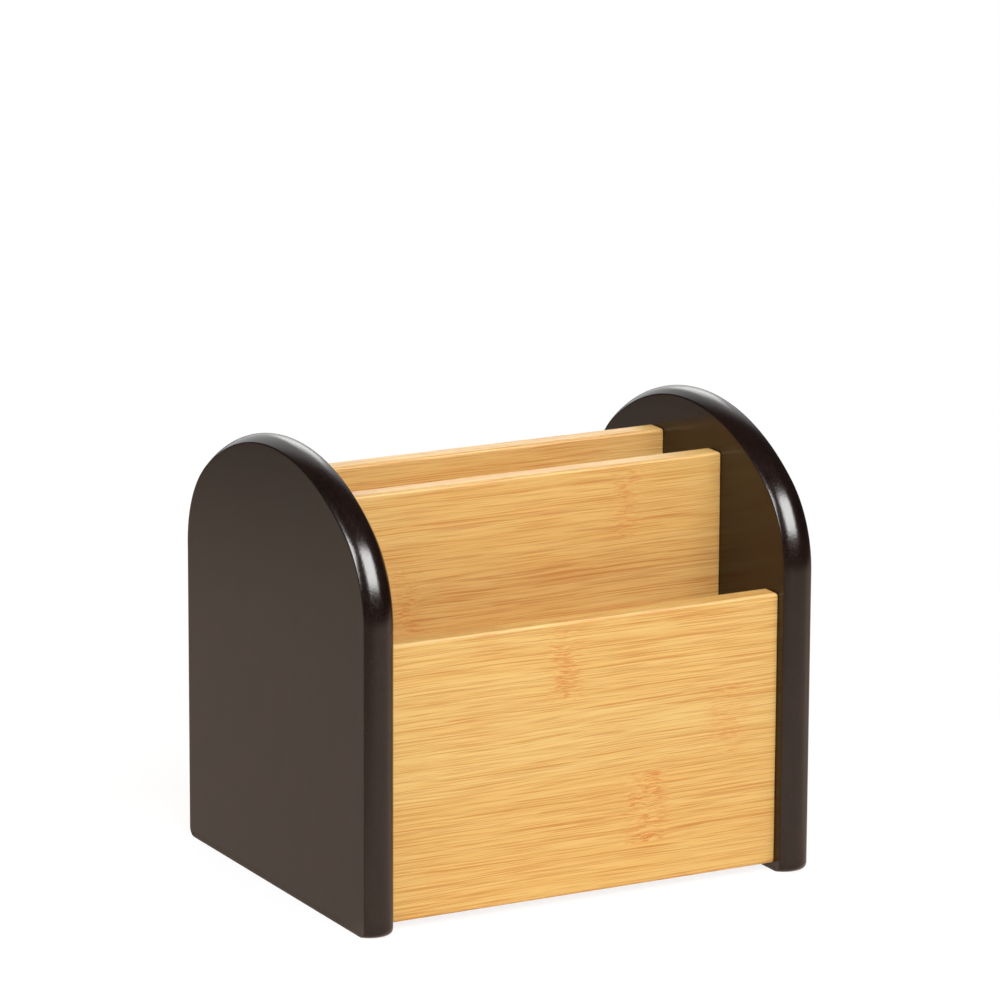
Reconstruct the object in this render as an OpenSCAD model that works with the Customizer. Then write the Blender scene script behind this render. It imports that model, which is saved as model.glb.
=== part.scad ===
// Desk organizer: two arched side panels joined by five bamboo boards on blind wooden dowels.
// X runs across the width, Y from front to back and Z up. The origin is on the table under the centre.

/* [Side panels] */
// Width over the outer faces of the two side panels
overall_width = 138; // [110:0.5:260]
// Depth of a side panel from rim to rim
side_depth = 112.8; // [100:0.1:180]
// Height of a side panel at the top of its arch
side_height = 126.1; // [118:0.1:200]
// Thickness of a side panel
side_thickness = 8.8; // [8:0.1:14]
// Height of the arched part of a side panel
arch_height = 40.4; // [36:0.1:48]
// Radius of the two shoulders of the arch
shoulder_radius = 31.8; // [14:0.1:34]
// How far the rounded rim swells past the edge of the flat faces
rim_swell = 2.1; // [1:0.1:3]
// Radius that softens the line between the rim and a flat face
rim_softening = 0.8; // [0.3:0.1:1.2]
// Radius of the lower front and back corners
foot_radius = 2.5; // [0.5:0.1:6]

/* [Boards] */
// Thickness of the front, back and divider boards
board_thickness = 6.4; // [5:0.1:9]
// Thickness of the base board
base_thickness = 6.4; // [5:0.1:9]
// Space under the boards and the base
floor_gap = 2.3; // [1:0.1:8]
// Top of the front and back panels above the table
panel_top = 79.8; // [50:0.1:100]
// Top of the two dividers above the table
divider_top = 112.8; // [70:0.1:114]
// Distance from the crest of the rim in to the front and back panels
panel_inset = 5; // [3:0.1:12]
// Rounding of the long edges and the corners of the boards
edge_rounding = 0.9; // [0.3:0.1:1.5]

/* [Dowels] */
// Diameter of a dowel
dowel_diameter = 3; // [2:0.1:4]
// Depth of a dowel in the side panel
dowel_in_side = 6; // [4:0.1:7]
// Depth of a dowel in the end of a board
dowel_in_board = 10; // [6:0.1:20]
// Distance from the edge of a board to its nearest dowel
dowel_margin = 14; // [8:0.1:20]
// Glue space around a dowel
dowel_clearance = 0.05; // [0.02:0.01:0.15]
// Space left at the two ends of a dowel
dowel_end_space = 0.5; // [0.2:0.1:0.8]
// Chamfer on the ends of a dowel
dowel_chamfer = 0.4; // [0.1:0.1:0.8]

/* [Hidden] */

side_color = "#4a403a";
bamboo_color = "#e9bd78";
dowel_color = "#d8b48a";
arc_steps = 96;
dowel_steps = 48;
reach = 0.5;

// Radii that follow from other sizes are kept to a ten-thousandth of a millimetre
function fine(v) = round(10000 * v) / 10000;

// Inner width and the boards' places from front to back
inner_width = overall_width - 2 * side_thickness;
panel_y = side_depth / 2 - panel_inset - board_thickness / 2;
divider_y = panel_y / 3;
base_depth = 2 * panel_y - board_thickness;
base_top = floor_gap + base_thickness;

// Arch of three arcs: two shoulders of one radius and a flatter crown that meets them without a break
straight_height = side_height - arch_height;
shoulder_y = side_depth / 2 - shoulder_radius;
crown_radius = fine((shoulder_y ^ 2 + arch_height ^ 2 - shoulder_radius ^ 2)
    / (2 * (arch_height - shoulder_radius)));
crown_angle = asin(shoulder_y / (crown_radius - shoulder_radius));
crown_z = straight_height - shoulder_y / tan(crown_angle);

// Rim section: one wide arc across the edge, softened where it meets each flat face
half_side = side_thickness / 2;
rim_radius = fine((half_side ^ 2 + rim_swell ^ 2) / (2 * rim_swell));
soft_y = half_side - rim_softening;
soft_drop = rim_radius - sqrt((rim_radius - rim_softening) ^ 2 - soft_y ^ 2);

// Dowels: heights on the front and back panels, on the dividers, and places along the base
panel_dowels = [floor_gap + dowel_margin, panel_top - dowel_margin];
divider_dowels = [base_top + dowel_margin, (base_top + divider_top) / 2, divider_top - dowel_margin];
base_dowels = [dowel_margin - base_depth / 2, base_depth / 2 - dowel_margin];
base_dowel_z = floor_gap + base_thickness / 2;
dowel_length = dowel_in_side + dowel_in_board;
hole_radius = dowel_diameter / 2 + dowel_clearance;
hole_length = dowel_length + 2 * dowel_end_space;

// Moves what follows in two steps, whole tenths first, so that arcs that touch meet without a break
module place(offset) {
    tenths = [for (v = offset) round(10 * v) / 10];
    translate(tenths) translate(offset - tenths) children();
}

// Section of a side panel from its middle out to the crest of the rim at x = crest
module rim_section(crest) {
    rim_centre = crest - rim_radius;
    flat_end = crest - soft_drop;
    fan = 2 * rim_radius;
    translate([0, -half_side]) square([flat_end, side_thickness]);
    for (s = [-1, 1])
        place([flat_end, s * soft_y]) circle(r = rim_softening, $fn = arc_steps);
    intersection() {
        place([rim_centre, 0]) circle(r = rim_radius, $fn = arc_steps);
        polygon([
            [rim_centre, 0],
            [rim_centre, 0] + fan * [rim_radius - soft_drop, -soft_y],
            [rim_centre, 0] + fan * [rim_radius - soft_drop, soft_y]
        ]);
    }
}

// Round panel about a centre in the plane of the panel, cut to an outline given from the side
module arch_piece(centre, radius, outline)
    intersection() {
        place([0, centre[0], centre[1]])
            rotate([90, 0, 90])
                rotate_extrude($fn = 2 * arc_steps)
                    rim_section(radius);
        translate([-half_side - reach, 0, 0])
            rotate([90, 0, 90])
                linear_extrude(side_thickness + 2 * reach)
                    polygon(outline);
    }

// Side panel before its feet are rounded and its holes are bored: a post, two shoulders and the crown
module panel_blank() {
    seam = side_height * [sin(crown_angle), cos(crown_angle)];
    shoulder = [shoulder_y, straight_height];
    rotate([0, 0, 90])
        linear_extrude(straight_height) {
            rim_section(side_depth / 2);
            mirror([1, 0]) rim_section(side_depth / 2);
        }
    for (turn = [0, 180])
        rotate([0, 0, turn])
            arch_piece(shoulder, shoulder_radius, [shoulder, shoulder + [side_height, 0], shoulder + seam]);
    arch_piece([0, crown_z], crown_radius, [
        [-shoulder[0], shoulder[1]], shoulder,
        shoulder + seam, [-shoulder[0] - seam[0], shoulder[1] + seam[1]]
    ]);
}

// Row of holes for the dowels that enter the sides at one end of the boards
module dowel_holes(side) {
    for (board = [-1, 1], z = panel_dowels) dowel_hole(side, board * panel_y, z);
    for (board = [-1, 1], z = divider_dowels) dowel_hole(side, board * divider_y, z);
    for (y = base_dowels) dowel_hole(side, y, base_dowel_z);
}

// One blind hole, bored half in the side panel and half in the board
module dowel_hole(side, y, z)
    translate([side * (inner_width / 2 + dowel_in_side + dowel_end_space), y, z])
        rotate([0, -90 * side, 0])
            cylinder(r = hole_radius, h = hole_length, $fn = dowel_steps);

// One dowel with its two chamfered ends
module dowel(side, y, z)
    color(dowel_color)
        translate([side * (inner_width / 2 + dowel_in_side), y, z])
            rotate([0, -90 * side, 0]) {
                cylinder(
                    r1 = dowel_diameter / 2 - dowel_chamfer, r2 = dowel_diameter / 2,
                    h = dowel_chamfer, $fn = dowel_steps
                );
                translate([0, 0, dowel_chamfer])
                    cylinder(d = dowel_diameter, h = dowel_length - 2 * dowel_chamfer, $fn = dowel_steps);
                translate([0, 0, dowel_length - dowel_chamfer])
                    cylinder(
                        r1 = dowel_diameter / 2, r2 = dowel_diameter / 2 - dowel_chamfer,
                        h = dowel_chamfer, $fn = dowel_steps
                    );
            }

module side_panel(side)
    color(side_color)
        difference() {
            translate([side * (overall_width - side_thickness) / 2, 0, 0])
                difference() {
                    panel_blank();
                    foot_corners();
                }
            dowel_holes(side);
        }

// What is taken off the lower front and back corners of a side panel
module foot_corners()
    for (turn = [0, 180])
        rotate([0, 0, turn])
            translate([-half_side - reach, side_depth / 2 - foot_radius, foot_radius])
                rotate([90, 0, 90])
                    linear_extrude(side_thickness + 2 * reach)
                        difference() {
                            translate([0, -foot_radius - reach])
                                square(foot_radius + reach);
                            circle(r = foot_radius, $fn = arc_steps);
                        }

// Rectangle with four rounded corners, from the origin up and out
module rounded_rectangle(size, radius) {
    translate([radius, 0]) square([size[0] - 2 * radius, size[1]]);
    translate([0, radius]) square([size[0], size[1] - 2 * radius]);
    for (x = [radius, size[0] - radius], y = [radius, size[1] - radius])
        translate([x, y]) circle(r = radius, $fn = arc_steps);
}

// Standing board across the inner width, centred on y, from bottom to top, without its holes
module board_blank(y, bottom, top)
    intersection() {
        translate([-inner_width / 2, y - board_thickness / 2, bottom])
            rotate([90, 0, 90])
                linear_extrude(inner_width)
                    rounded_rectangle([board_thickness, top - bottom], edge_rounding);
        translate([-inner_width / 2, y + board_thickness / 2 + reach, bottom])
            rotate([90, 0, 0])
                linear_extrude(board_thickness + 2 * reach)
                    rounded_rectangle([inner_width, top - bottom], edge_rounding);
    }

module board(y, bottom, top, dowels)
    color(bamboo_color)
        difference() {
            board_blank(y, bottom, top);
            for (side = [-1, 1], z = dowels) dowel_hole(side, y, z);
        }

module base()
    color(bamboo_color)
        difference() {
            translate([-inner_width / 2, -base_depth / 2, floor_gap])
                cube([inner_width, base_depth, base_thickness]);
            for (side = [-1, 1], y = base_dowels) dowel_hole(side, y, base_dowel_z);
        }

side_panel(-1);  // left_side_panel
side_panel(1);  // right_side_panel
board(-panel_y, floor_gap, panel_top, panel_dowels);  // front_panel
board(-divider_y, base_top, divider_top, divider_dowels);  // front_divider
board(divider_y, base_top, divider_top, divider_dowels);  // rear_divider
board(panel_y, floor_gap, panel_top, panel_dowels);  // back_panel
base();  // base_board
for (end = [["left", -1], ["right", 1]]) {
    for (level = [["lower", 0], ["upper", 1]]) {
        dowel(end[1], -panel_y, panel_dowels[level[1]]);
        dowel(end[1], panel_y, panel_dowels[level[1]]);
    }
    for (level = [["lower", 0], ["middle", 1], ["upper", 2]]) {
        dowel(end[1], -divider_y, divider_dowels[level[1]]);
        dowel(end[1], divider_y, divider_dowels[level[1]]);
    }
    for (row = [["front", 0], ["rear", 1]])
        dowel(end[1], base_dowels[row[1]], base_dowel_z);
}
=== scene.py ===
import bpy
import math
from mathutils import Matrix, Vector


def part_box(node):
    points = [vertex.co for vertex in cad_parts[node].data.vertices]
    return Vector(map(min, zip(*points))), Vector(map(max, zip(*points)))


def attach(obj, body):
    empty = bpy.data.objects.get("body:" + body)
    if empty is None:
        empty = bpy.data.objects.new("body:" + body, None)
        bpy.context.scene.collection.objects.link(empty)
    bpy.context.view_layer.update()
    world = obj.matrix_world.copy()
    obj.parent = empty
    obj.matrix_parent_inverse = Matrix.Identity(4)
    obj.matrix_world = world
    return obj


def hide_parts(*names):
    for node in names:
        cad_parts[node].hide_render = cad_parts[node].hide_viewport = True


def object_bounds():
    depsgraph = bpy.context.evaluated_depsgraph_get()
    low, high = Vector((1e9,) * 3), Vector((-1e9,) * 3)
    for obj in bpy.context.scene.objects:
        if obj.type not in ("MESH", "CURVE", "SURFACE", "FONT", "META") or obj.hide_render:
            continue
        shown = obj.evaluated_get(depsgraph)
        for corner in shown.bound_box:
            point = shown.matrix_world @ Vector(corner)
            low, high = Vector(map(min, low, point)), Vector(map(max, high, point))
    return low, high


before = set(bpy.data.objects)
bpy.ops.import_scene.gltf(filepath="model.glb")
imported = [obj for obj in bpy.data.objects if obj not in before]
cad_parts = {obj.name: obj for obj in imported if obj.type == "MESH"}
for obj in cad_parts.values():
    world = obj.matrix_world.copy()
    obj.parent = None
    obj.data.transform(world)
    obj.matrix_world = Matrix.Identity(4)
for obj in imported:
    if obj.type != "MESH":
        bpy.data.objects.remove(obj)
cadLow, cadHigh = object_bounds()
sidePanelNodes = {"leftSidePanel": "left_side_panel", "rightSidePanel": "right_side_panel"}
dowelNodes = sorted(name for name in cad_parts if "_dowel_" in name)
print("frame loaded:", len(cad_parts), "nodes,", len(dowelNodes), "dowels")

mm = 0.001
alongX = (0, math.radians(90), 0)  # turns an upright cylinder to lie along X

# helpers for modelling in edit mode


def dropSelection():
    bpy.ops.object.select_all(action="DESELECT")


def focusOn(piece):
    dropSelection()
    piece.select_set(True)
    bpy.context.view_layer.objects.active = piece


def startEditing(piece):
    focusOn(piece)
    bpy.ops.object.mode_set(mode="EDIT")
    bpy.ops.mesh.select_all(action="DESELECT")


def stopEditing():
    bpy.ops.object.mode_set(mode="OBJECT")


def pickVertices(piece, rule):
    bpy.ops.mesh.select_mode(type="VERT")
    bpy.ops.mesh.select_all(action="DESELECT")
    bpy.ops.object.mode_set(mode="OBJECT")
    for vertex in piece.data.vertices:
        vertex.select = rule(vertex.co)
    bpy.ops.object.mode_set(mode="EDIT")


def pickFaces(piece, rule):
    bpy.ops.mesh.select_mode(type="FACE")
    bpy.ops.mesh.select_all(action="DESELECT")
    bpy.ops.object.mode_set(mode="OBJECT")
    for face in piece.data.polygons:
        face.select = rule(face)
    bpy.ops.object.mode_set(mode="EDIT")


def pickEdges(piece, rule):
    bpy.ops.mesh.select_mode(type="EDGE")
    bpy.ops.mesh.select_all(action="DESELECT")
    bpy.ops.object.mode_set(mode="OBJECT")
    for edge in piece.data.edges:
        first, second = (piece.data.vertices[index].co for index in edge.vertices)
        edge.select = rule(first, second)
    bpy.ops.object.mode_set(mode="EDIT")


def turnSelection(angle, centre, axis, steps):
    # the spin tool counts its angle clockwise
    bpy.ops.mesh.spin(steps=steps, angle=-angle, center=centre, axis=axis)


def extrudeSelection(step):
    bpy.ops.mesh.extrude_edges_move(TRANSFORM_OT_translate={"value": step})


def applyPlace(piece):
    focusOn(piece)
    bpy.ops.object.transform_apply(location=True, rotation=True, scale=True)


def smoothPiece(piece, angle):
    focusOn(piece)
    bpy.ops.object.shade_smooth_by_angle(angle=math.radians(angle))
    bpy.ops.object.modifier_add(type="WEIGHTED_NORMAL")
    piece.modifiers[-1].keep_sharp = True
    bpy.ops.object.modifier_apply(modifier=piece.modifiers[-1].name)


def copyPiece(piece, name):
    focusOn(piece)
    bpy.ops.object.duplicate(linked=False)
    twin = bpy.context.object
    twin.name = name
    twin.data.name = name
    return twin


# blind holes for the dowels

drillSettings = {"gap": 0.05 * mm, "endSpace": 0.5 * mm, "sides": 40}


def makeDrills(nodes):
    # one loose cylinder for each dowel, a little longer and wider than the dowel itself
    dropSelection()
    drills = []
    for node in nodes:
        low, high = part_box(node)
        bpy.ops.mesh.primitive_cylinder_add(
            vertices=drillSettings["sides"],
            radius=(high.z - low.z) / 2 + drillSettings["gap"],
            depth=(high.x - low.x) + 2 * drillSettings["endSpace"],
            location=(low + high) / 2,
            rotation=alongX,
        )
        drills.append(bpy.context.object)
    dropSelection()
    for drill in drills:
        drill.select_set(True)
    bpy.context.view_layer.objects.active = drills[0]
    bpy.ops.object.join()
    bpy.context.object.name = "drills"
    applyPlace(bpy.context.object)
    return bpy.context.object


def drillHoles(piece, nodes):
    drills = makeDrills(nodes)
    focusOn(piece)
    bpy.ops.object.modifier_add(type="BOOLEAN")
    cut = piece.modifiers[-1]
    cut.operation = "DIFFERENCE"
    cut.solver = "EXACT"
    cut.object = drills
    bpy.ops.object.modifier_apply(modifier=cut.name)
    focusOn(drills)
    bpy.ops.object.delete()


sidePanel = {
    "archHeight": 40.4 * mm,
    "shoulderRadius": 31.8 * mm,
    "rimSwell": 2.1 * mm,  # how far the round rim stands past the flat faces
    "rimSoftening": 0.8 * mm,
    "footRadius": 2.5 * mm,
    "footEasing": 0.25 * mm,
    "footEasingSteps": 3,
    "faceMargin": 1.2 * mm,  # narrow ring that keeps the flat face flat beside the rim
    "faceShare": 0.25,  # a flat face covers more than this share of depth times height
    "faceTurn": 0.999,  # and its normal lies this close to X
    "near": 0.003 * mm,  # points this close count as in the same plane
    "merge": 0.0003 * mm,  # and points this close as one
    "rimSteps": 18,
    "softSteps": 5,
    "shoulderSteps": 30,
    "crownSteps": 48,
    "footRows": 7,
    "postRows": 3,
    "smoothAngle": 32,
}


def modelSidePanel(settings, thickness, depth, height):
    half = thickness / 2
    front = depth / 2
    arch = settings["archHeight"]
    shoulder = settings["shoulderRadius"]
    swell = settings["rimSwell"]
    soft = settings["rimSoftening"]
    spring = height - arch
    shoulderY = front - shoulder
    crown = (shoulderY**2 + arch**2 - shoulder**2) / (2 * (arch - shoulder))
    crownAngle = math.asin(shoulderY / (crown - shoulder))
    crownZ = spring - shoulderY / math.tan(crownAngle)
    rim = (half**2 + swell**2) / (2 * swell)
    softX = half - soft
    softDrop = rim - math.sqrt((rim - soft) ** 2 - softX**2)
    rimAngle = math.atan2(softX, rim - softDrop)
    foot = settings["footRadius"]
    faceEnd = front - softDrop - foot

    # one point at the end of the flat face, spun into the section of the rim at the bottom of a foot
    bpy.ops.mesh.primitive_plane_add(size=mm, location=(-half, -faceEnd, 0))
    piece = bpy.context.object
    applyPlace(piece)
    startEditing(piece)
    bpy.ops.mesh.select_all(action="SELECT")
    bpy.ops.mesh.merge(type="CENTER")
    upAxis = (0, 0, 1)
    turnSelection(math.pi / 2 - rimAngle, (-softX, -faceEnd, 0), upAxis, settings["softSteps"])
    turnSelection(2 * rimAngle, (0, rim - front + foot, 0), upAxis, settings["rimSteps"])
    turnSelection(math.pi / 2 - rimAngle, (softX, -faceEnd, 0), upAxis, settings["softSteps"])

    # the section goes round the front foot, up, over the arch and down to the back foot
    footStops = [math.pi / 2 * step / settings["footRows"] for step in range(settings["footRows"] + 1)]
    rows = [
        (foot * (math.sin(end) - math.sin(start)), foot * (math.cos(start) - math.cos(end)))
        for start, end in zip(footStops, footStops[1:])
    ]
    rows += [(0, (spring - foot) / settings["postRows"])] * settings["postRows"]
    acrossAxis = (-1, 0, 0)
    bpy.ops.mesh.select_all(action="SELECT")
    for outward, upward in rows:
        extrudeSelection((0, -outward, upward))
    shoulderTurn = math.pi / 2 - crownAngle
    turnSelection(shoulderTurn, (0, -shoulderY, spring), acrossAxis, settings["shoulderSteps"])
    turnSelection(2 * crownAngle, (0, 0, crownZ), acrossAxis, settings["crownSteps"])
    turnSelection(shoulderTurn, (0, shoulderY, spring), acrossAxis, settings["shoulderSteps"])
    for outward, upward in reversed(rows):
        extrudeSelection((0, -outward, -upward))

    # flat faces and the bottom
    near = settings["near"]
    for side in (-1, 1):
        pickVertices(piece, lambda point: abs(point.x - side * half) < near)
        bpy.ops.mesh.edge_face_add()
    pickVertices(piece, lambda point: abs(point.z) < near)
    bpy.ops.mesh.edge_face_add()
    bpy.ops.mesh.select_all(action="SELECT")
    bpy.ops.mesh.remove_doubles(threshold=settings["merge"])
    bpy.ops.mesh.normals_make_consistent(inside=False)

    # the lower edges of the flat faces are eased
    def onLowerSide(first, second):
        low = max(first.z, second.z) < near
        return low and abs(abs(first.x) - half) < near and abs(first.x - second.x) < near

    pickEdges(piece, onLowerSide)
    bpy.ops.mesh.bevel(offset=settings["footEasing"], segments=settings["footEasingSteps"])
    faceArea = depth * height * settings["faceShare"]
    pickFaces(piece, lambda face: abs(face.normal.x) > settings["faceTurn"] and face.area > faceArea)
    bpy.ops.mesh.inset(thickness=settings["faceMargin"])
    stopEditing()
    return piece


def sidePanelPieces():
    pieces = []
    blank = None
    for name, node in sidePanelNodes.items():
        low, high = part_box(node)
        size = high - low
        if blank is None:
            blank = modelSidePanel(sidePanel, size.x, size.y, size.z)
            blank.name = "panelBlank"
        piece = copyPiece(blank, name)
        piece.location = ((low.x + high.x) / 2, (low.y + high.y) / 2, low.z)
        applyPlace(piece)
        hand = "_left_" if low.x < 0 else "_right_"
        drillHoles(piece, [dowel for dowel in dowelNodes if hand in dowel])
        smoothPiece(piece, sidePanel["smoothAngle"])
        pieces.append((piece, node))
    focusOn(blank)
    bpy.ops.object.delete()
    print("side panels modelled")
    return pieces


board = {
    "longEdge": 0.9 * mm,  # rounding of the long edges and of the corners
    "endEdge": 0.4 * mm,  # easing of the upright edges beside the side panels
    "bevelSteps": 5,
    "wideFace": 3 * mm,  # a face wider than this gets a ring inside it
    "ringInset": 0.5 * mm,
    "smoothAngle": 32,
}
boardNodes = {
    "frontPanel": "front_panel",
    "frontDivider": "front_divider",
    "rearDivider": "rear_divider",
    "backPanel": "back_panel",
    "baseBoard": "base_board",
}


def modelBoard(settings, name, node):
    low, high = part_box(node)
    dropSelection()
    bpy.ops.mesh.primitive_cube_add(size=1, location=(low + high) / 2, scale=high - low)
    piece = bpy.context.object
    piece.name = name
    piece.data.name = name
    applyPlace(piece)
    weights = piece.data.attributes.new("bevel_weight_edge", "FLOAT", "EDGE")
    thin = "y" if (high.y - low.y) < (high.z - low.z) else "z"
    for edge in piece.data.edges:
        first, second = (piece.data.vertices[index].co for index in edge.vertices)
        step = second - first
        acrossEnd = abs(step.x) < mm and abs(getattr(step, thin)) < mm
        weights.data[edge.index].value = settings["endEdge"] / settings["longEdge"] if acrossEnd else 1
    bpy.ops.object.modifier_add(type="BEVEL")
    bevel = piece.modifiers[-1]
    bevel.limit_method = "WEIGHT"
    bevel.width = settings["longEdge"]
    bevel.segments = settings["bevelSteps"]
    bpy.ops.object.modifier_apply(modifier=bevel.name)
    piece.data.attributes.remove(piece.data.attributes["bevel_weight_edge"])
    # a ring inside each large face keeps its shading flat
    startEditing(piece)
    wideArea = (high.x - low.x) * settings["wideFace"]
    pickFaces(piece, lambda face: face.area > wideArea)
    bpy.ops.mesh.inset(thickness=settings["ringInset"], use_individual=True)
    stopEditing()
    stem = node.replace("_board", "") + "_dowel_"
    drillHoles(piece, [dowel for dowel in dowelNodes if dowel.startswith(stem)])
    smoothPiece(piece, settings["smoothAngle"])
    return piece


def boardPieces():
    pieces = [(modelBoard(board, name, node), node) for name, node in boardNodes.items()]
    print("boards modelled")
    return pieces


dowelPin = {
    "sides": 36,
    "chamfer": 0.4 * mm,
    "fluteEvery": 3,  # every third strip of the pin is a glue flute
    "fluteDepth": 0.09 * mm,
    "fluteMargin": 0.03 * mm,
    "endTurn": 0.1,  # faces that look further along X than this are ends and chamfers
    "near": 0.01 * mm,  # ends of an edge this close along X make it an edge of the end face
    "smoothAngle": 30,
}


def modelDowel(settings, radius, length):
    dropSelection()
    bpy.ops.mesh.primitive_cylinder_add(
        vertices=settings["sides"], radius=radius, depth=length, rotation=alongX
    )
    piece = bpy.context.object
    applyPlace(piece)
    startEditing(piece)
    pickEdges(piece, lambda first, second: abs(first.x - second.x) < settings["near"])
    bpy.ops.mesh.bevel(offset=settings["chamfer"], segments=1)

    def onFlute(face):
        if abs(face.normal.x) > settings["endTurn"]:
            return False
        turns = math.atan2(face.center.z, face.center.y) / math.tau % 1
        return int(turns * settings["sides"]) % settings["fluteEvery"] == 0

    pickFaces(piece, onFlute)
    bpy.ops.mesh.inset(
        thickness=settings["fluteMargin"], depth=-settings["fluteDepth"], use_individual=True
    )
    stopEditing()
    return piece


def dowelPieces():
    low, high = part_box(dowelNodes[0])
    master = modelDowel(dowelPin, (high.z - low.z) / 2, high.x - low.x)
    pieces = []
    for node in dowelNodes:
        low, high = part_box(node)
        words = node.split("_")
        piece = copyPiece(master, words[0] + "".join(word.capitalize() for word in words[1:]))
        piece.location = (low + high) / 2
        applyPlace(piece)
        smoothPiece(piece, dowelPin["smoothAngle"])
        pieces.append((piece, node))
    focusOn(master)
    bpy.ops.object.delete()
    print("dowels modelled:", len(pieces))
    return pieces


# small helpers for shader nodes

# colours are given on the screen scale of 0 to 255, which is a curve over true brightness
screenCurve = {"scale": 255, "knee": 0.04045, "slope": 12.92, "lift": 0.055, "power": 2.4}
white = (1, 1, 1, 1)


def toLinear(red, green, blue):
    def channel(value):
        share = value / screenCurve["scale"]
        if share <= screenCurve["knee"]:
            return share / screenCurve["slope"]
        return ((share + screenCurve["lift"]) / (1 + screenCurve["lift"])) ** screenCurve["power"]

    return (channel(red), channel(green), channel(blue), 1)


def addNode(tree, kind, **values):
    node = tree.nodes.new(kind)
    for key, value in values.items():
        setattr(node, key, value)
    return node


def feed(tree, value, socket):
    if isinstance(value, bpy.types.NodeSocket):
        tree.links.new(value, socket)
    else:
        socket.default_value = value


def maths(tree, operation, *values, clamp=False):
    node = addNode(tree, "ShaderNodeMath", operation=operation, use_clamp=clamp)
    for value, socket in zip(values, node.inputs):
        feed(tree, value, socket)
    return node.outputs[0]


def vectorMaths(tree, operation, *values):
    node = addNode(tree, "ShaderNodeVectorMath", operation=operation)
    for value, socket in zip(values, node.inputs):
        feed(tree, value, socket)
    return node.outputs[0]


def ranged(tree, value, fromLow, fromHigh, toLow=0, toHigh=1, smooth=True):
    node = addNode(tree, "ShaderNodeMapRange", clamp=True)
    node.interpolation_type = "SMOOTHSTEP" if smooth else "LINEAR"
    for given, socket in zip((value, fromLow, fromHigh, toLow, toHigh), node.inputs):
        feed(tree, given, socket)
    return node.outputs[0]


def blendColours(tree, share, first, second):
    node = addNode(tree, "ShaderNodeMix", data_type="RGBA", clamp_factor=True)
    feed(tree, share, node.inputs[0])
    feed(tree, first, node.inputs[6])
    feed(tree, second, node.inputs[7])
    return node.outputs[2]


def mixValues(tree, share, first, second):
    node = addNode(tree, "ShaderNodeMix", data_type="FLOAT")
    for value, socket in zip((share, first, second), (node.inputs[0], node.inputs[2], node.inputs[3])):
        feed(tree, value, socket)
    return node.outputs[0]


def noise(tree, vector, scale, detail, roughness):
    node = addNode(tree, "ShaderNodeTexNoise", noise_dimensions="3D")
    feed(tree, vector, node.inputs["Vector"])
    feed(tree, scale, node.inputs["Scale"])
    node.inputs["Detail"].default_value = detail
    node.inputs["Roughness"].default_value = roughness
    return node.outputs["Fac"]


def newGroup(name, inputs, outputs):
    group = bpy.data.node_groups.new(name, "ShaderNodeTree")
    for label, kind in inputs.items():
        group.interface.new_socket(label, in_out="INPUT", socket_type="NodeSocket" + kind)
    for label, kind in outputs.items():
        group.interface.new_socket(label, in_out="OUTPUT", socket_type="NodeSocket" + kind)
    return group, group.nodes.new("NodeGroupInput"), group.nodes.new("NodeGroupOutput")


def useGroup(tree, group, **values):
    node = addNode(tree, "ShaderNodeGroup", node_tree=group)
    for key, value in values.items():
        feed(tree, value, node.inputs[key])
    return node.outputs


fibreNoise = {"scale": 1, "detail": 3, "roughness": 0.5}


def fibreGroup(settings):
    # long streaks along X, given a place in millimetres
    group, start, end = newGroup(
        "woodFibres",
        {"Place": "Vector", "Length": "Float", "Thickness": "Float", "Seed": "Float"},
        {"Streaks": "Float"},
    )
    parts = addNode(group, "ShaderNodeSeparateXYZ")
    feed(group, start.outputs["Place"], parts.inputs[0])
    squeezed = maths(group, "DIVIDE", parts.outputs[0], start.outputs["Length"])
    packed = addNode(group, "ShaderNodeCombineXYZ")
    feed(group, maths(group, "ADD", squeezed, start.outputs["Seed"]), packed.inputs[0])
    across = maths(group, "DIVIDE", parts.outputs[1], start.outputs["Thickness"])
    upward = maths(group, "DIVIDE", parts.outputs[2], start.outputs["Thickness"])
    feed(group, across, packed.inputs[1])
    feed(group, maths(group, "ADD", upward, start.outputs["Seed"]), packed.inputs[2])
    feed(group, noise(group, packed.outputs[0], **settings), end.inputs["Streaks"])
    return group


stripLayout = {"scatter": 400, "joint": (0.02, 0.16)}


def stripGroup(settings):
    # the flat strips that a bamboo board is pressed from
    group, start, end = newGroup(
        "bambooStrips",
        {"Place": "Vector", "Pitch": "Float", "First": "Float", "Seed": "Float"},
        {"Shifted Place": "Vector", "Tone": "Float", "Joint": "Float"},
    )
    parts = addNode(group, "ShaderNodeSeparateXYZ")
    feed(group, start.outputs["Place"], parts.inputs[0])
    height = maths(group, "SUBTRACT", parts.outputs[2], start.outputs["First"])
    count = maths(group, "DIVIDE", height, start.outputs["Pitch"])
    index = maths(group, "FLOOR", count)
    random = addNode(group, "ShaderNodeTexWhiteNoise", noise_dimensions="1D")
    feed(group, maths(group, "ADD", index, start.outputs["Seed"]), random.inputs["W"])
    feed(group, random.outputs["Value"], end.inputs["Tone"])
    shift = vectorMaths(group, "SCALE", random.outputs["Color"])
    shift.node.inputs["Scale"].default_value = settings["scatter"]
    feed(group, vectorMaths(group, "ADD", start.outputs["Place"], shift), end.inputs["Shifted Place"])
    nearest = maths(group, "ABSOLUTE", maths(group, "SUBTRACT", count, maths(group, "ROUND", count)))
    distance = maths(group, "MULTIPLY", nearest, start.outputs["Pitch"])
    feed(group, ranged(group, distance, *settings["joint"], 1, 0), end.inputs["Joint"])
    return group


# shares of a strip's height and of a knuckle's width over which the patch fades
knuckleFade = {"lengthways": (0.44, 0.5), "sideways": (0.1, 1)}


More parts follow.
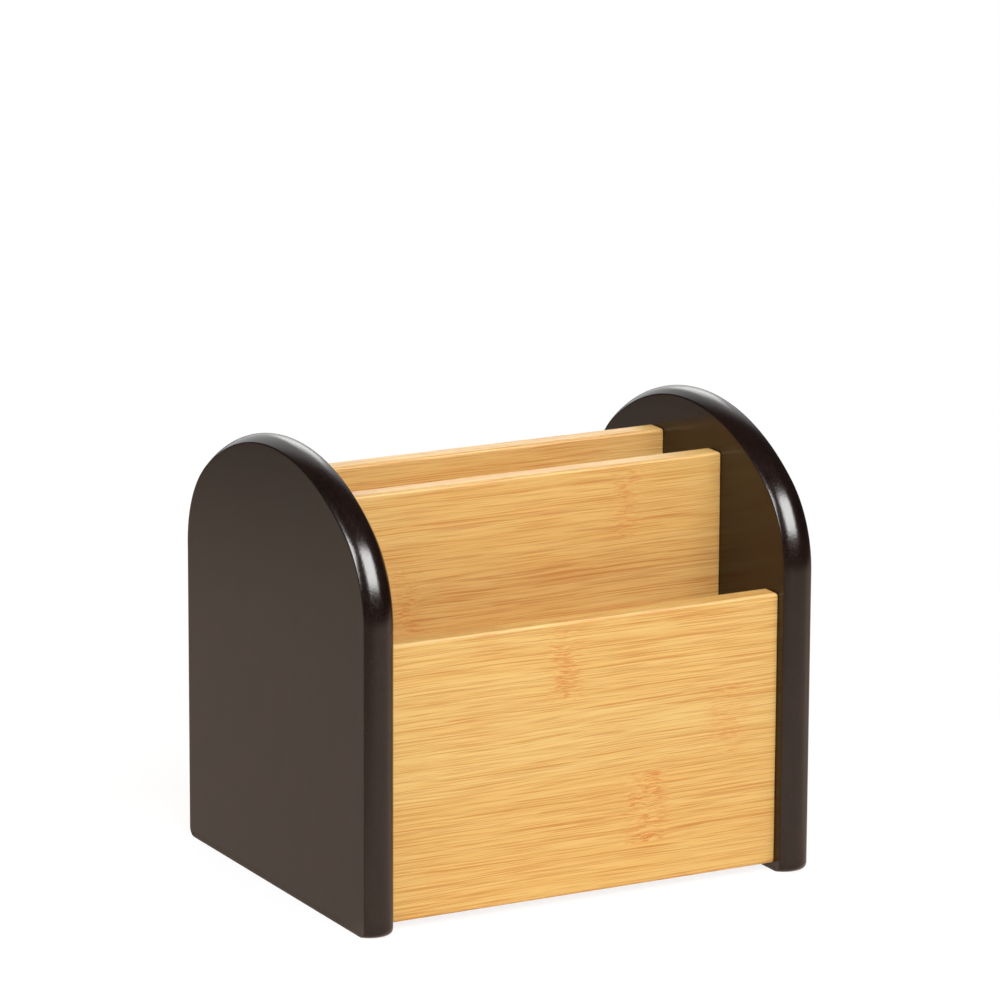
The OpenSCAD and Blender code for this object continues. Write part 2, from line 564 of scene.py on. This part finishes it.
def knuckleGroup(settings):
    # where a bamboo cane had a joint: a soft upright patch within one strip
    group, start, end = newGroup(
        "bambooKnuckle",
        {"Place": "Vector", "Centre": "Vector", "Width": "Float", "Height": "Float"},
        {"Mask": "Float"},
    )
    offset = addNode(group, "ShaderNodeSeparateXYZ")
    fromCentre = vectorMaths(group, "SUBTRACT", start.outputs["Place"], start.outputs["Centre"])
    feed(group, fromCentre, offset.inputs[0])
    along = maths(group, "ABSOLUTE", offset.outputs[0])
    upward = maths(group, "ABSOLUTE", offset.outputs[2])
    sideways = maths(group, "DIVIDE", along, start.outputs["Width"])
    lengthways = maths(group, "DIVIDE", upward, start.outputs["Height"])
    within = ranged(group, lengthways, *settings["lengthways"], 1, 0)
    spread = ranged(group, sideways, *settings["sideways"], 1, 0)
    feed(group, maths(group, "MULTIPLY", spread, within), end.inputs["Mask"])
    return group


skinNoise = {
    "height": {"scale": 1, "detail": 1, "roughness": 0.4},
    "fleck": {"scale": 1.3, "detail": 1, "roughness": 0.5},
    "cloud": {"scale": 1, "detail": 3, "roughness": 0.5},
}


def skinGroup(settings):
    # the fine skin of a sprayed lacquer, and slow changes of its tone
    group, start, end = newGroup(
        "lacquerSkin",
        {"Place": "Vector", "Grain": "Float", "Patch": "Float"},
        {"Height": "Float", "Fleck": "Float", "Cloud": "Float"},
    )
    fine = vectorMaths(group, "SCALE", start.outputs["Place"])
    feed(group, maths(group, "DIVIDE", 1, start.outputs["Grain"]), fine.node.inputs["Scale"])
    wide = vectorMaths(group, "SCALE", start.outputs["Place"])
    feed(group, maths(group, "DIVIDE", 1, start.outputs["Patch"]), wide.node.inputs["Scale"])
    feed(group, noise(group, fine, **settings["height"]), end.inputs["Height"])
    feed(group, noise(group, fine, **settings["fleck"]), end.inputs["Fleck"])
    feed(group, noise(group, wide, **settings["cloud"]), end.inputs["Cloud"])
    return group


edgeSense = {"samples": 6, "agreement": (0.999, 0.93)}


def edgeGroup(settings):
    # 1 on rounded edges, 0 on flat and gently curved faces
    group, start, end = newGroup("edgeMask", {"Reach": "Float"}, {"Edge": "Float"})
    softened = addNode(group, "ShaderNodeBevel", samples=settings["samples"])
    feed(group, start.outputs["Reach"], softened.inputs["Radius"])
    sharp = addNode(group, "ShaderNodeNewGeometry")
    agreement = addNode(group, "ShaderNodeVectorMath", operation="DOT_PRODUCT")
    feed(group, softened.outputs[0], agreement.inputs[0])
    feed(group, sharp.outputs["Normal"], agreement.inputs[1])
    feed(group, ranged(group, agreement.outputs["Value"], *settings["agreement"]), end.inputs["Edge"])
    return group


def startMaterial(name, turn=0):
    material = bpy.data.materials.new(name)
    material.use_nodes = True
    tree = material.node_tree
    shader = tree.nodes["Principled BSDF"]
    place = addNode(tree, "ShaderNodeTexCoord").outputs["Object"]
    mapping = addNode(tree, "ShaderNodeMapping")
    feed(tree, place, mapping.inputs["Vector"])
    mapping.inputs["Rotation"].default_value = (turn, 0, 0)
    mapping.inputs["Scale"].default_value = (1 / mm,) * 3  # millimetres from here on
    return material, tree, shader, mapping.outputs["Vector"]


def addBump(tree, shader, height, distance, strength=1):
    bump = addNode(tree, "ShaderNodeBump")
    bump.inputs["Distance"].default_value = distance
    bump.inputs["Strength"].default_value = strength
    feed(tree, height, bump.inputs["Height"])
    feed(tree, bump.outputs["Normal"], shader.inputs["Normal"])


fibres = fibreGroup(fibreNoise)
strips = stripGroup(stripLayout)
knuckle = knuckleGroup(knuckleFade)
skin = skinGroup(skinNoise)
edges = edgeGroup(edgeSense)


espresso = {
    "dark": (14, 6, 4),
    "light": (38, 21, 15),
    "thin": (92, 54, 36),  # painted highlight: a lighter reddish colour on the rounded edges
    "thinShare": 0.3,
    "thinReach": 0.7 * mm,
    "specular": 0.35,
    "roughness": (0.17, 0.24),
    "skinHeight": 0.018 * mm,
    "grainSize": 0.6,
    "cloudSize": 11,
    "contrast": (0.3, 0.7),
    "fleckShare": 0.7,  # the rest of the change of tone is in slow clouds
}


def espressoMaterial(settings):
    material, tree, shader, place = startMaterial("espressoLacquer")
    surface = useGroup(tree, skin, Place=place, Grain=settings["grainSize"], Patch=settings["cloudSize"])
    flecks = ranged(tree, surface["Fleck"], *settings["contrast"])
    clouds = ranged(tree, surface["Cloud"], *settings["contrast"])
    tone = mixValues(tree, settings["fleckShare"], clouds, flecks)
    colour = blendColours(tree, tone, toLinear(*settings["dark"]), toLinear(*settings["light"]))
    # painted highlight: rounded edges are blended part way towards the lighter reddish colour
    edge = useGroup(tree, edges, Reach=settings["thinReach"])["Edge"]
    share = maths(tree, "MULTIPLY", edge, settings["thinShare"])
    feed(tree, blendColours(tree, share, colour, toLinear(*settings["thin"])), shader.inputs["Base Color"])
    lowest, highest = settings["roughness"]
    feed(tree, ranged(tree, flecks, 0, 1, lowest, highest, False), shader.inputs["Roughness"])
    shader.inputs["Specular IOR Level"].default_value = settings["specular"]
    addBump(tree, shader, surface["Height"], settings["skinHeight"])
    return material


bamboo = {
    "light": (250, 209, 126),
    "warm": (244, 188, 98),
    "line": (222, 143, 56),
    "knuckle": (231, 145, 68),
    "pitch": 21.6,
    "specular": 0.35,
    "roughness": (0.44, 0.56),
    "fibreHeight": 0.02 * mm,
    # length and thickness of each kind of fibre in mm, then a seed
    "zones": (60, 2, 4),
    "lines": (80, 0.4, 0),
    "breaks": (20, 1, 12),
    "hairs": (22, 0.25, 8),
    "dashes": (3.2, 0.36, 9),
    "wander": (120, 30, 2.5),
    "swirls": (5.5, 3, 7.5),
    "wanderHeight": 3.6,
    "swirlHeight": 1.7,
    # which part of each noise counts, and how strongly it is painted
    "zoneEdge": (0.42, 0.58),
    "zoneWarmth": (0.16, 0.5),
    "stripWarmth": (-0.15, 0.15),
    "raggedEdge": (0.38, 0.55),
    "raggedShare": (0.35, 1),
    "lineEdge": (0.53, 0.59),
    "lineShare": (0.38, 0.78),
    "breakEdge": (0.4, 0.55),
    "breakShare": (0.15, 1),
    "hairEdge": (0.48, 0.62),
    "hairShare": 0.64,
    "dashEdge": (0.5, 0.58),
    "dashShare": 0.9,
    "gapEdge": (0.38, 0.47),
    "gapShare": 0.5,
    "jointShare": 0.2,
    "sheenEdge": (0.35, 0.65),
    "bumpStrength": 0.6,
    "noiseMiddle": 0.5,  # the fibres wander to both sides of this
}
boardLooks = {
    # first is where a strip begins, and knuckles are x, strip centre, width and strength
    "frontPanel": {
        "first": 13.6,
        "seed": 3,
        "knuckles": [(-6.5, 67.6, 9, 0.85), (18.8, 24.4, 10, 1.3), (44.5, 46, 10, 0.5)],
    },
    "frontDivider": {"first": 4.5, "seed": 11, "knuckles": [(-38, 80.1, 7, 0.9), (30, 101.7, 8, 0.7)]},
    "rearDivider": {"first": 9.2, "seed": 23, "knuckles": [(12, 84.8, 8, 0.9), (-44, 63.2, 7, 0.8)]},
    "backPanel": {"first": 7.1, "seed": 37, "knuckles": [(-27, 39.5, 8, 1), (33, 61.1, 7, 0.8)]},
    # the base lies flat, so its pattern is turned
    "baseBoard": {"first": -10.8, "seed": 51, "knuckles": [(20, 0, 8, 0.9)], "turn": math.radians(90)},
}


def bambooMaterial(name, settings, look):
    material, tree, shader, place = startMaterial(name + "Bamboo", look.get("turn", 0))

    def fibresOf(kind, where, seed=0):
        length, thickness, ownSeed = settings[kind]
        return useGroup(
            tree, fibres, Place=where, Length=length, Thickness=thickness, Seed=ownSeed + seed
        )

    def paint(share, below, above):
        return blendColours(tree, share, below, toLinear(*settings[above]))

    patch = None
    for x, height, width, strength in look["knuckles"]:
        spot = useGroup(
            tree, knuckle, Place=place, Centre=(x, 0, height), Width=width, Height=settings["pitch"]
        )
        weakened = maths(tree, "MULTIPLY", spot["Mask"], strength)
        patch = weakened if patch is None else maths(tree, "MAXIMUM", patch, weakened)

    layout = useGroup(
        tree, strips, Place=place, Pitch=settings["pitch"], First=look["first"], Seed=look["seed"]
    )
    # the fibres wander a little, and more beside a knuckle
    within = layout["Shifted Place"]
    slow = maths(tree, "SUBTRACT", fibresOf("wander", within)["Streaks"], settings["noiseMiddle"])
    quick = maths(tree, "SUBTRACT", fibresOf("swirls", within)["Streaks"], settings["noiseMiddle"])
    drift = maths(tree, "MULTIPLY", slow, settings["wanderHeight"])
    swirl = maths(tree, "MULTIPLY", maths(tree, "MULTIPLY", quick, settings["swirlHeight"]), patch)
    upward = addNode(tree, "ShaderNodeCombineXYZ")
    feed(tree, maths(tree, "ADD", drift, swirl), upward.inputs[2])
    bent = vectorMaths(tree, "ADD", within, upward.outputs[0])

    zones = fibresOf("zones", bent, look["seed"])["Streaks"]
    lines = fibresOf("lines", bent, look["seed"])["Streaks"]
    breaks = fibresOf("breaks", bent, look["seed"])["Streaks"]
    hairs = fibresOf("hairs", bent, look["seed"])["Streaks"]
    dashes = fibresOf("dashes", bent, look["seed"])["Streaks"]

    zone = ranged(tree, zones, *settings["zoneEdge"])
    stripWarmth = ranged(tree, layout["Tone"], 0, 1, *settings["stripWarmth"], False)
    zoneWarmth = ranged(tree, zone, 0, 1, *settings["zoneWarmth"], False)
    warmth = maths(tree, "ADD", zoneWarmth, stripWarmth, clamp=True)
    swirls = fibresOf("swirls", within, look["seed"])["Streaks"]
    ragged = ranged(tree, swirls, *settings["raggedEdge"], *settings["raggedShare"])
    patch = maths(tree, "MULTIPLY", patch, ragged)
    warmth = maths(tree, "MAXIMUM", warmth, patch)
    colour = paint(warmth, toLinear(*settings["light"]), "warm")
    lineShare = ranged(tree, zone, 0, 1, *settings["lineShare"], False)
    unbroken = ranged(tree, breaks, *settings["breakEdge"], *settings["breakShare"])
    lineMask = ranged(tree, lines, *settings["lineEdge"])
    lineMask = maths(tree, "MULTIPLY", lineMask, maths(tree, "MULTIPLY", unbroken, lineShare))
    colour = paint(lineMask, colour, "line")
    hairMask = ranged(tree, hairs, *settings["hairEdge"], 0, settings["hairShare"])
    colour = paint(hairMask, colour, "line")
    dashMask = ranged(tree, dashes, *settings["dashEdge"], 0, settings["dashShare"])
    colour = paint(maths(tree, "MULTIPLY", dashMask, patch), colour, "knuckle")
    gapMask = ranged(tree, dashes, *settings["gapEdge"], settings["gapShare"], 0)
    colour = paint(maths(tree, "MULTIPLY", gapMask, patch), colour, "light")
    jointMask = maths(tree, "MULTIPLY", layout["Joint"], settings["jointShare"])
    feed(tree, paint(jointMask, colour, "line"), shader.inputs["Base Color"])
    sheen = ranged(tree, lines, *settings["sheenEdge"], *settings["roughness"])
    feed(tree, sheen, shader.inputs["Roughness"])
    shader.inputs["Specular IOR Level"].default_value = settings["specular"]
    addBump(tree, shader, lines, settings["fibreHeight"], settings["bumpStrength"])
    return material


dowelWood = {
    "light": (222, 190, 148),
    "dark": (188, 148, 104),
    "pore": (140, 98, 62),
    "roughness": (0.55, 0.75),
    "fibreHeight": 0.03 * mm,
    "grain": (9, 0.35, 1),
    "grainEdge": (0.3, 0.7),
    "pores": (1.6, 0.16, 5),
    "poreEdge": (0.6, 0.7),
    "poreShare": 0.7,
}


def dowelMaterial(settings):
    material, tree, shader, place = startMaterial("dowelWood")
    streaks = {}
    for kind in ("grain", "pores"):
        length, thickness, seed = settings[kind]
        streaks[kind] = useGroup(
            tree, fibres, Place=place, Length=length, Thickness=thickness, Seed=seed
        )["Streaks"]
    tone = ranged(tree, streaks["grain"], *settings["grainEdge"])
    colour = blendColours(tree, tone, toLinear(*settings["light"]), toLinear(*settings["dark"]))
    specks = ranged(tree, streaks["pores"], *settings["poreEdge"], 0, settings["poreShare"])
    feed(tree, blendColours(tree, specks, colour, toLinear(*settings["pore"])), shader.inputs["Base Color"])
    sheen = ranged(tree, streaks["grain"], *settings["grainEdge"], *settings["roughness"])
    feed(tree, sheen, shader.inputs["Roughness"])
    addBump(tree, shader, streaks["grain"], settings["fibreHeight"])
    return material


def dress(piece, node, material):
    piece.data.materials.clear()
    piece.data.materials.append(material)
    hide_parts(node)
    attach(piece, "root")


espressoLacquer = espressoMaterial(espresso)
for piece, node in sidePanelPieces():
    dress(piece, node, espressoLacquer)
for piece, node in boardPieces():
    dress(piece, node, bambooMaterial(piece.name, bamboo, boardLooks[piece.name]))
pinWood = dowelMaterial(dowelWood)
for piece, node in dowelPieces():
    dress(piece, node, pinWood)
print("materials in place")


studio = {
    "floorSize": 12,
    "floorColour": (236, 236, 236),
    # close by, the white floor is partly lit so that it keeps the shadow, and further off it only glows
    "shadowReach": (0.12, 0.5),
    "floorGlow": 0.86,
    "floorLit": 0.22,
    # in reflections the floor is brighter ahead of the front panel and ends where the white sheet ends
    "sheetReach": (0.28, 0.8),
    "sheetColour": (255, 231, 212),
    "sheetLevel": 0.7,
    "sheetAhead": 1.5,
    "aheadDepth": (-75 * mm, -35 * mm),
    "aheadSide": (-300 * mm, -60 * mm),
    "beyondSheet": 0.12,
    "ceiling": 0.04,
    "backdrop": 1.3,
    "backdropAzimuth": 167,
    "backdropElevation": 22,
    "backdropSpread": (38, 22),
    "lampDistance": 1.25,
    "lampMiddle": 0.5,  # a lamp's width and height both count from 0 to 1
    "lampFade": 0.215,  # share of a lamp's width and height over which it fades at each edge
    "gleamDistance": 1.21,  # a little nearer, as a ray meets only one of two lamps in the same place
}
# azimuth is from straight ahead of the front panel towards +X, in degrees
# power lights the object at a plain level, and gleam is what shiny surfaces mirror of the same softbox
softboxes = {
    "keySoftbox": {
        "azimuth": -4, "elevation": 43.5, "width": 1.44, "height": 1.04, "power": 21.5, "gleam": 113,
    },
    "leftSoftbox": {
        "azimuth": -86, "elevation": 28, "width": 0.57, "height": 0.76, "power": 6.8, "gleam": 32,
    },
    "backSoftbox": {
        "azimuth": 153, "elevation": 28, "width": 0.57, "height": 0.58, "power": 1.5, "gleam": 3.1,
    },
    "backFill": {
        "azimuth": 176, "elevation": 8, "width": 0.9, "height": 0.5, "power": 6.5, "gleam": 0,
    },
}


def floorMaterial(settings):
    material = bpy.data.materials.new("paleFloor")
    material.use_nodes = True
    tree = material.node_tree
    tree.nodes.remove(tree.nodes["Principled BSDF"])
    place = addNode(tree, "ShaderNodeTexCoord").outputs["Object"]
    distance = addNode(tree, "ShaderNodeVectorMath", operation="LENGTH")
    feed(tree, place, distance.inputs[0])
    distance = distance.outputs["Value"]
    parts = addNode(tree, "ShaderNodeSeparateXYZ")
    feed(tree, place, parts.inputs[0])

    # for bounced light it is a plain pale floor
    plain = addNode(tree, "ShaderNodeBsdfDiffuse")
    plain.inputs["Color"].default_value = toLinear(*settings["floorColour"])

    # for the camera it is white, with a soft shadow beside the object
    near, far = settings["shadowReach"]
    lit = addNode(tree, "ShaderNodeBsdfDiffuse")
    feed(tree, ranged(tree, distance, near, far, settings["floorLit"], 0), lit.inputs["Color"])
    glow = addNode(tree, "ShaderNodeEmission")
    feed(tree, ranged(tree, distance, near, far, settings["floorGlow"], 1), glow.inputs["Strength"])
    shown = addNode(tree, "ShaderNodeAddShader")
    feed(tree, lit.outputs[0], shown.inputs[0])
    feed(tree, glow.outputs[0], shown.inputs[1])

    # for reflections it is a white sheet of limited size
    near, far = settings["sheetReach"]
    ahead = ranged(tree, parts.outputs[1], *settings["aheadDepth"], 1, 0)
    ahead = maths(tree, "MULTIPLY", ahead, ranged(tree, parts.outputs[0], *settings["aheadSide"]))
    sheet = ranged(tree, ahead, 0, 1, settings["sheetLevel"], settings["sheetAhead"], False)
    mirrored = addNode(tree, "ShaderNodeEmission")
    mirrored.inputs["Color"].default_value = toLinear(*settings["sheetColour"])
    level = mixValues(tree, ranged(tree, distance, near, far), sheet, settings["beyondSheet"])
    feed(tree, level, mirrored.inputs["Strength"])

    path = addNode(tree, "ShaderNodeLightPath")
    direct = addNode(tree, "ShaderNodeMixShader")
    feed(tree, path.outputs["Is Camera Ray"], direct.inputs[0])
    feed(tree, plain.outputs[0], direct.inputs[1])
    feed(tree, shown.outputs[0], direct.inputs[2])
    mix = addNode(tree, "ShaderNodeMixShader")
    bounced = maths(tree, "MAXIMUM", path.outputs["Is Glossy Ray"], path.outputs["Is Transmission Ray"])
    feed(tree, bounced, mix.inputs[0])
    feed(tree, direct.outputs[0], mix.inputs[1])
    feed(tree, mirrored.outputs[0], mix.inputs[2])
    feed(tree, mix.outputs[0], tree.nodes["Material Output"].inputs["Surface"])
    return material


def makeFloor(settings):
    dropSelection()
    bpy.ops.mesh.primitive_plane_add(size=settings["floorSize"], location=(0, 0, cadLow.z))
    floor = bpy.context.object
    floor.name = "paleFloor"
    applyPlace(floor)
    floor.data.materials.append(floorMaterial(settings))


def makeSky(settings):
    # white to the camera; to the object a pale patch of backdrop in an otherwise dim room
    world = bpy.data.worlds.new("studioSky")
    world.use_nodes = True
    bpy.context.scene.world = world
    tree = world.node_tree
    middle = facing(settings["backdropAzimuth"], settings["backdropElevation"])
    closeness = addNode(tree, "ShaderNodeVectorMath", operation="DOT_PRODUCT")
    feed(tree, addNode(tree, "ShaderNodeTexCoord").outputs["Generated"], closeness.inputs[0])
    closeness.inputs[1].default_value = middle
    wide, narrow = (math.cos(math.radians(angle)) for angle in settings["backdropSpread"])
    level = ranged(
        tree, closeness.outputs["Value"], wide, narrow, settings["ceiling"], settings["backdrop"]
    )
    sky = addNode(tree, "ShaderNodeBackground")
    sky.inputs["Color"].default_value = white
    feed(tree, level, sky.inputs["Strength"])
    blank = addNode(tree, "ShaderNodeBackground")
    blank.inputs["Color"].default_value = white
    mix = addNode(tree, "ShaderNodeMixShader")
    path = addNode(tree, "ShaderNodeLightPath")
    shown = maths(tree, "MAXIMUM", path.outputs["Is Camera Ray"], path.outputs["Is Transmission Ray"])
    feed(tree, shown, mix.inputs[0])
    feed(tree, sky.outputs[0], mix.inputs[1])
    feed(tree, blank.outputs[0], mix.inputs[2])
    feed(tree, mix.outputs[0], tree.nodes["World Output"].inputs["Surface"])


def facing(azimuth, elevation):
    around, up = math.radians(azimuth), math.radians(elevation)
    return Vector((math.sin(around) * math.cos(up), -math.cos(around) * math.cos(up), math.sin(up)))


def fadeEdges(data, settings):
    # a softbox is dimmer towards its edges
    data.use_nodes = True
    tree = data.node_tree
    place = addNode(tree, "ShaderNodeSeparateXYZ")
    feed(tree, addNode(tree, "ShaderNodeNewGeometry").outputs["Parametric"], place.inputs[0])
    levels = []
    middle = settings["lampMiddle"]
    for across in place.outputs[:2]:
        outward = maths(tree, "ABSOLUTE", maths(tree, "SUBTRACT", across, middle))
        levels.append(ranged(tree, maths(tree, "SUBTRACT", middle, outward), 0, settings["lampFade"]))
    feed(tree, maths(tree, "MULTIPLY", *levels), tree.nodes["Emission"].inputs["Strength"])


def makeSoftbox(name, lamp, power, distance, settings):
    data = bpy.data.lights.new(name, "AREA")
    data.shape = "RECTANGLE"
    data.size = lamp["width"]
    data.size_y = lamp["height"]
    data.energy = power
    fadeEdges(data, settings)
    towards = facing(lamp["azimuth"], lamp["elevation"])
    softbox = bpy.data.objects.new(name, data)
    softbox.location = (cadLow + cadHigh) / 2 + towards * distance
    softbox.rotation_euler = towards.to_track_quat("Z", "Y").to_euler()
    bpy.context.scene.collection.objects.link(softbox)
    return softbox


def makeLamps(lamps, settings):
    for name, lamp in lamps.items():
        plain = makeSoftbox(name, lamp, lamp["power"], settings["lampDistance"], settings)
        plain.visible_glossy = False
        if lamp["gleam"] > 0:
            gleam = makeSoftbox(name + "Gleam", lamp, lamp["gleam"], settings["gleamDistance"], settings)
            gleam.visible_diffuse = False


makeFloor(studio)
makeSky(studio)
makeLamps(softboxes, studio)
print("studio ready")


camera = {
    "azimuth": -28.277,
    "elevation": 13.916,
    "roll": 0.257,
    "distance": 1.70712,
    "aim": (0.92 * mm, 0, 101.5 * mm),
    "lens": 222.18,
    "sensorWidth": 36,
    "sight": 50,  # how far it sees
}


def makeCamera(settings):
    back = facing(settings["azimuth"], settings["elevation"])
    across = Vector((0, 0, 1)).cross(back).normalized()
    upward = back.cross(across)
    roll = math.radians(settings["roll"])
    right = across * math.cos(roll) + upward * math.sin(roll)
    top = upward * math.cos(roll) - across * math.sin(roll)
    data = bpy.data.cameras.new("deskCamera")
    data.lens = settings["lens"]
    data.sensor_width = settings["sensorWidth"]
    data.clip_end = settings["sight"]
    viewer = bpy.data.objects.new("deskCamera", data)
    turn = Matrix((right, top, back)).transposed().to_4x4()
    viewer.matrix_world = Matrix.Translation(Vector(settings["aim"]) + back * settings["distance"]) @ turn
    bpy.context.scene.collection.objects.link(viewer)
    bpy.context.scene.camera = viewer


makeCamera(camera)
bpy.context.scene.view_settings.view_transform = "Standard"
